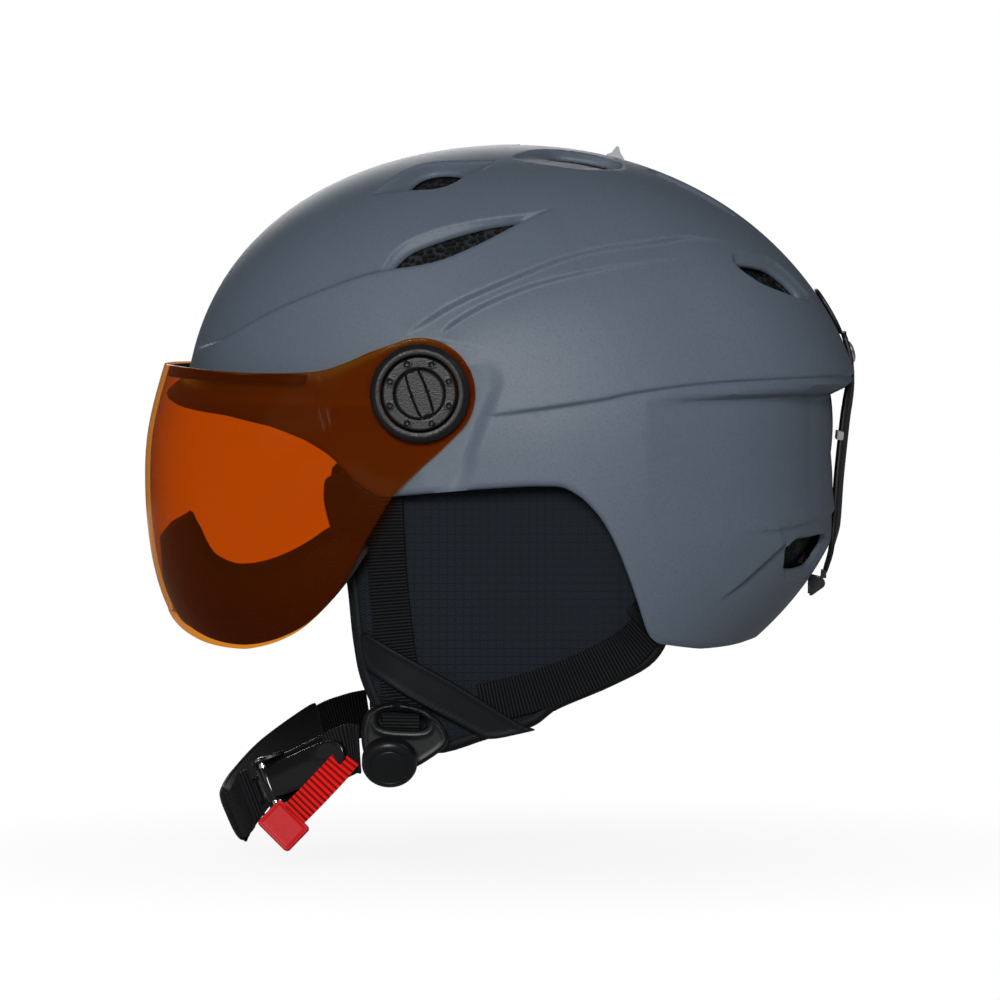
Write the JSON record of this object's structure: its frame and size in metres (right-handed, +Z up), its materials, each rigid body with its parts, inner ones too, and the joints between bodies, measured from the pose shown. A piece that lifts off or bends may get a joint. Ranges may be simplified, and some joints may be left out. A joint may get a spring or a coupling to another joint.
{
  "type": "visor ski helmet",
  "caption": "Ski helmet with a hinged tinted visor, sliding crown vents, fabric ear pads, buckled chin strap and a goggle strap retainer.",
  "frame": {"origin": "middle plane of the helmet, at goggle band height over the middle of the head", "axes": "+Z up to the crown, -X to the brow, -Y to the wearer's left"},
  "size_m": [0.2911, 0.229, 0.2867],
  "materials": {
    "shell": "matte soft-touch paint",
    "foam": "beaded foam",
    "mesh": "open cell foam mesh",
    "lining": "brushed knit",
    "ear_fabric": "ripstop weave",
    "webbing": "ribbed nylon webbing",
    "guide_rubber": "matte rubber",
    "black_plastic": "moulded plastic",
    "grained_plastic": "leather-grained moulding",
    "gloss_black": "gloss moulding",
    "lens": "amber tint",
    "seal_foam": "closed cell foam",
    "grey_plastic": "satin",
    "rivet_metal": "polished",
    "red_webbing": "ribbed nylon webbing",
    "red_rubber": "moulded rubber",
    "keeper_rubber": "matte rubber"
  },
  "bodies": {
    "helmet": {"outer_shell": "shell", "eps_liner": "foam", "vent_mesh": "mesh", "brow_pad": "lining", "crown_pad": "lining", "nape_pad": "lining", "ear_pad_left": "ear_fabric", "ear_pad_right": "ear_fabric", "front_webbing_left": "webbing", "front_webbing_right": "webbing", "rear_webbing_left": "webbing", "rear_webbing_right": "webbing", "strap_guide_left": "guide_rubber", "strap_guide_right": "guide_rubber", "strap_anchors": "black_plastic", "adjuster_left": "black_plastic", "adjuster_right": "black_plastic", "pivot_boss_left": "black_plastic", "pivot_boss_right": "black_plastic", "pivot_nut_left": "black_plastic", "pivot_nut_right": "black_plastic", "fit_housing": "black_plastic", "keeper_anchor": "black_plastic", "keeper_socket": "keeper_rubber"},
    "visor": {"visor_lens": "lens", "visor_top_seal": "seal_foam", "visor_face_seal": "seal_foam", "pivot_ring_left": "grained_plastic", "pivot_ring_right": "grained_plastic"},
    "knob_left": {"visor_knob_left": "grained_plastic"},
    "knob_right": {"visor_knob_right": "grained_plastic"},
    "vent_shutter": {"vent_slider": "grey_plastic", "vent_shutter": "black_plastic"},
    "chin_strap": {"adjuster_cap_left": "black_plastic", "adjuster_cap_right": "black_plastic", "chin_webbing_left": "webbing", "chin_webbing_right": "webbing", "chin_pad": "lining", "buckle_base": "black_plastic", "buckle_rivets": "rivet_metal", "ladder_tongue": "black_plastic"},
    "release_lever": {"release_lever": "gloss_black", "release_tab": "red_webbing", "release_label": "red_rubber"},
    "keeper": {"keeper_strap": "keeper_rubber", "keeper_cap": "rivet_metal"},
    "fit_dial": {"fit_dial": "black_plastic"},
    "fit_band_left": {"fit_band_left": "black_plastic"},
    "fit_band_right": {"fit_band_right": "black_plastic"}
  },
  "joints": [
    {"name": "visor_tilt", "type": "hinge", "parent": "helmet", "child": "visor", "pos_m": [-0.04, 0, 0.014], "axis": [0, 1, 0], "range_deg": [0, 50]},
    {"name": "knob_left_turn", "type": "hinge", "parent": "helmet", "child": "knob_left", "pos_m": [-0.04, -0.105, 0.014], "axis": [0, -1, 0], "range_deg": [0, 90]},
    {"name": "knob_right_turn", "type": "hinge", "parent": "helmet", "child": "knob_right", "pos_m": [-0.04, 0.105, 0.014], "axis": [0, 1, 0], "range_deg": [0, 90]},
    {"name": "vent_slide", "type": "hinge", "parent": "helmet", "child": "vent_shutter", "pos_m": [-0.001, 0, -0.049], "axis": [0, 1, 0], "range_deg": [0, 4.2]},
    {"name": "chin_strap_swing", "type": "hinge", "parent": "helmet", "child": "chin_strap", "pos_m": [-0.052, 0, -0.131], "axis": [0, 1, 0], "range_deg": [-40, 2]},
    {"name": "lever_release", "type": "hinge", "parent": "chin_strap", "child": "release_lever", "pos_m": [-0.10052, -0.07424, -0.1436], "axis": [0.3522, -0.2034, -0.9135], "range_deg": [0, 35], "stiffness_Nm_per_rad": 0.03},
    {"name": "keeper_swing", "type": "hinge", "parent": "helmet", "child": "keeper", "pos_m": [0.1226, 0, -0.0665], "axis": [0, 1, 0], "range_deg": [0, 65]},
    {"name": "dial_turn", "type": "hinge", "parent": "helmet", "child": "fit_dial", "pos_m": [0.092, 0, -0.072], "axis": [1, 0, 0], "range_deg": [0, 94]},
    {"name": "band_left_slide", "type": "slide", "parent": "helmet", "child": "fit_band_left", "axis": [0, 1, 0], "range_m": [0, 0.005]},
    {"name": "band_right_slide", "type": "slide", "parent": "helmet", "child": "fit_band_right", "axis": [0, -1, 0], "range_m": [0, 0.005]}
  ],
  "couplings": [
    {"joint": "band_left_slide", "follows": "dial_turn", "m_per_rad": 0.003},
    {"joint": "band_right_slide", "follows": "dial_turn", "m_per_rad": 0.003}
  ]
}
